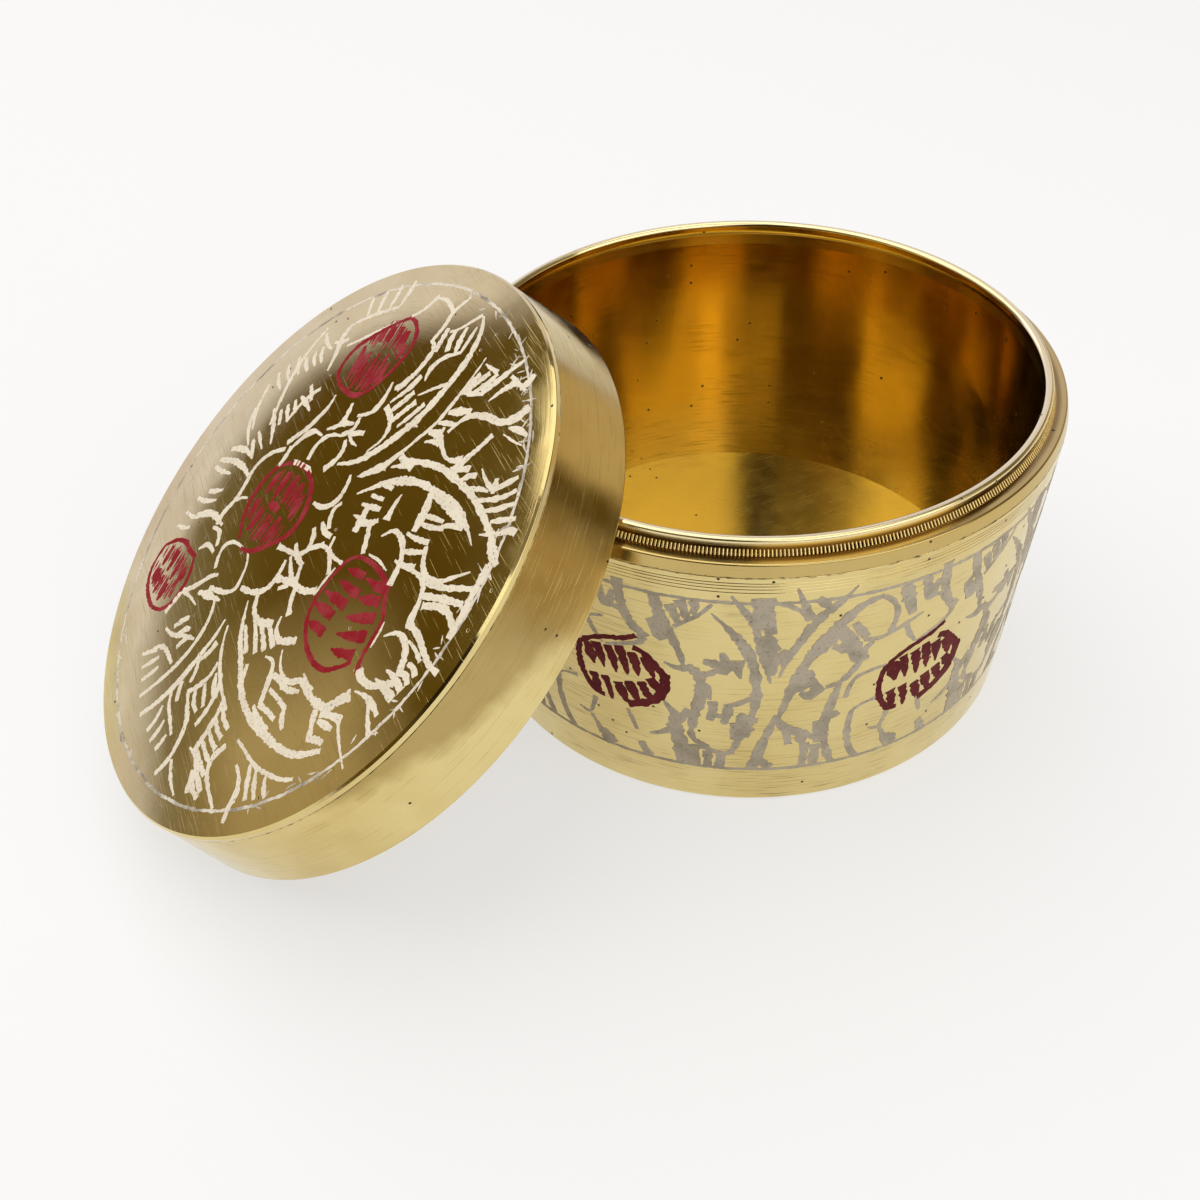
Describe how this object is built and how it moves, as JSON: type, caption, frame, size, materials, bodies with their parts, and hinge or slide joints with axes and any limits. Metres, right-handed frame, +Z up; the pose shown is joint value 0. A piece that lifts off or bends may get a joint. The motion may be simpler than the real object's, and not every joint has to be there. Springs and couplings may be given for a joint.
{
  "type": "engraved brass box with lift-off lid",
  "caption": "Round engraved brass box with a milled neck and lacquer-filled floral ornament, its lift-off lid leaning against it.",
  "frame": {"origin": "centre of the box's foot, on the surface that it stands on", "axes": "+Z up along the box's axis; the lid leans on the -X side, in the XZ plane"},
  "size_m": [0.1361, 0.0844, 0.0601],
  "materials": {
    "brass": "polished, turned and hand-engraved",
    "cream_lacquer": "worn lacquer fill",
    "red_lacquer": "worn lacquer fill",
    "grey_lacquer": "worn lacquer fill",
    "maroon_lacquer": "worn lacquer fill"
  },
  "bodies": {
    "base": {"base_wall": "brass", "base_floor": "brass", "neck_ring": "brass", "base_lower_line": "grey_lacquer", "base_upper_line": "grey_lacquer", "base_buds": "maroon_lacquer", "base_stems": "grey_lacquer"},
    "lid": {"lid_skirt": "brass", "lid_plate": "brass", "lid_border_line": "cream_lacquer", "lid_buds": "red_lacquer", "lid_stems": "cream_lacquer"}
  },
  "joints": [
    {"name": "lid_lift", "type": "slide", "parent": "base", "child": "lid", "axis": [-0.616, 0, 0.7877], "range_m": [0, 0.07]}
  ]
}
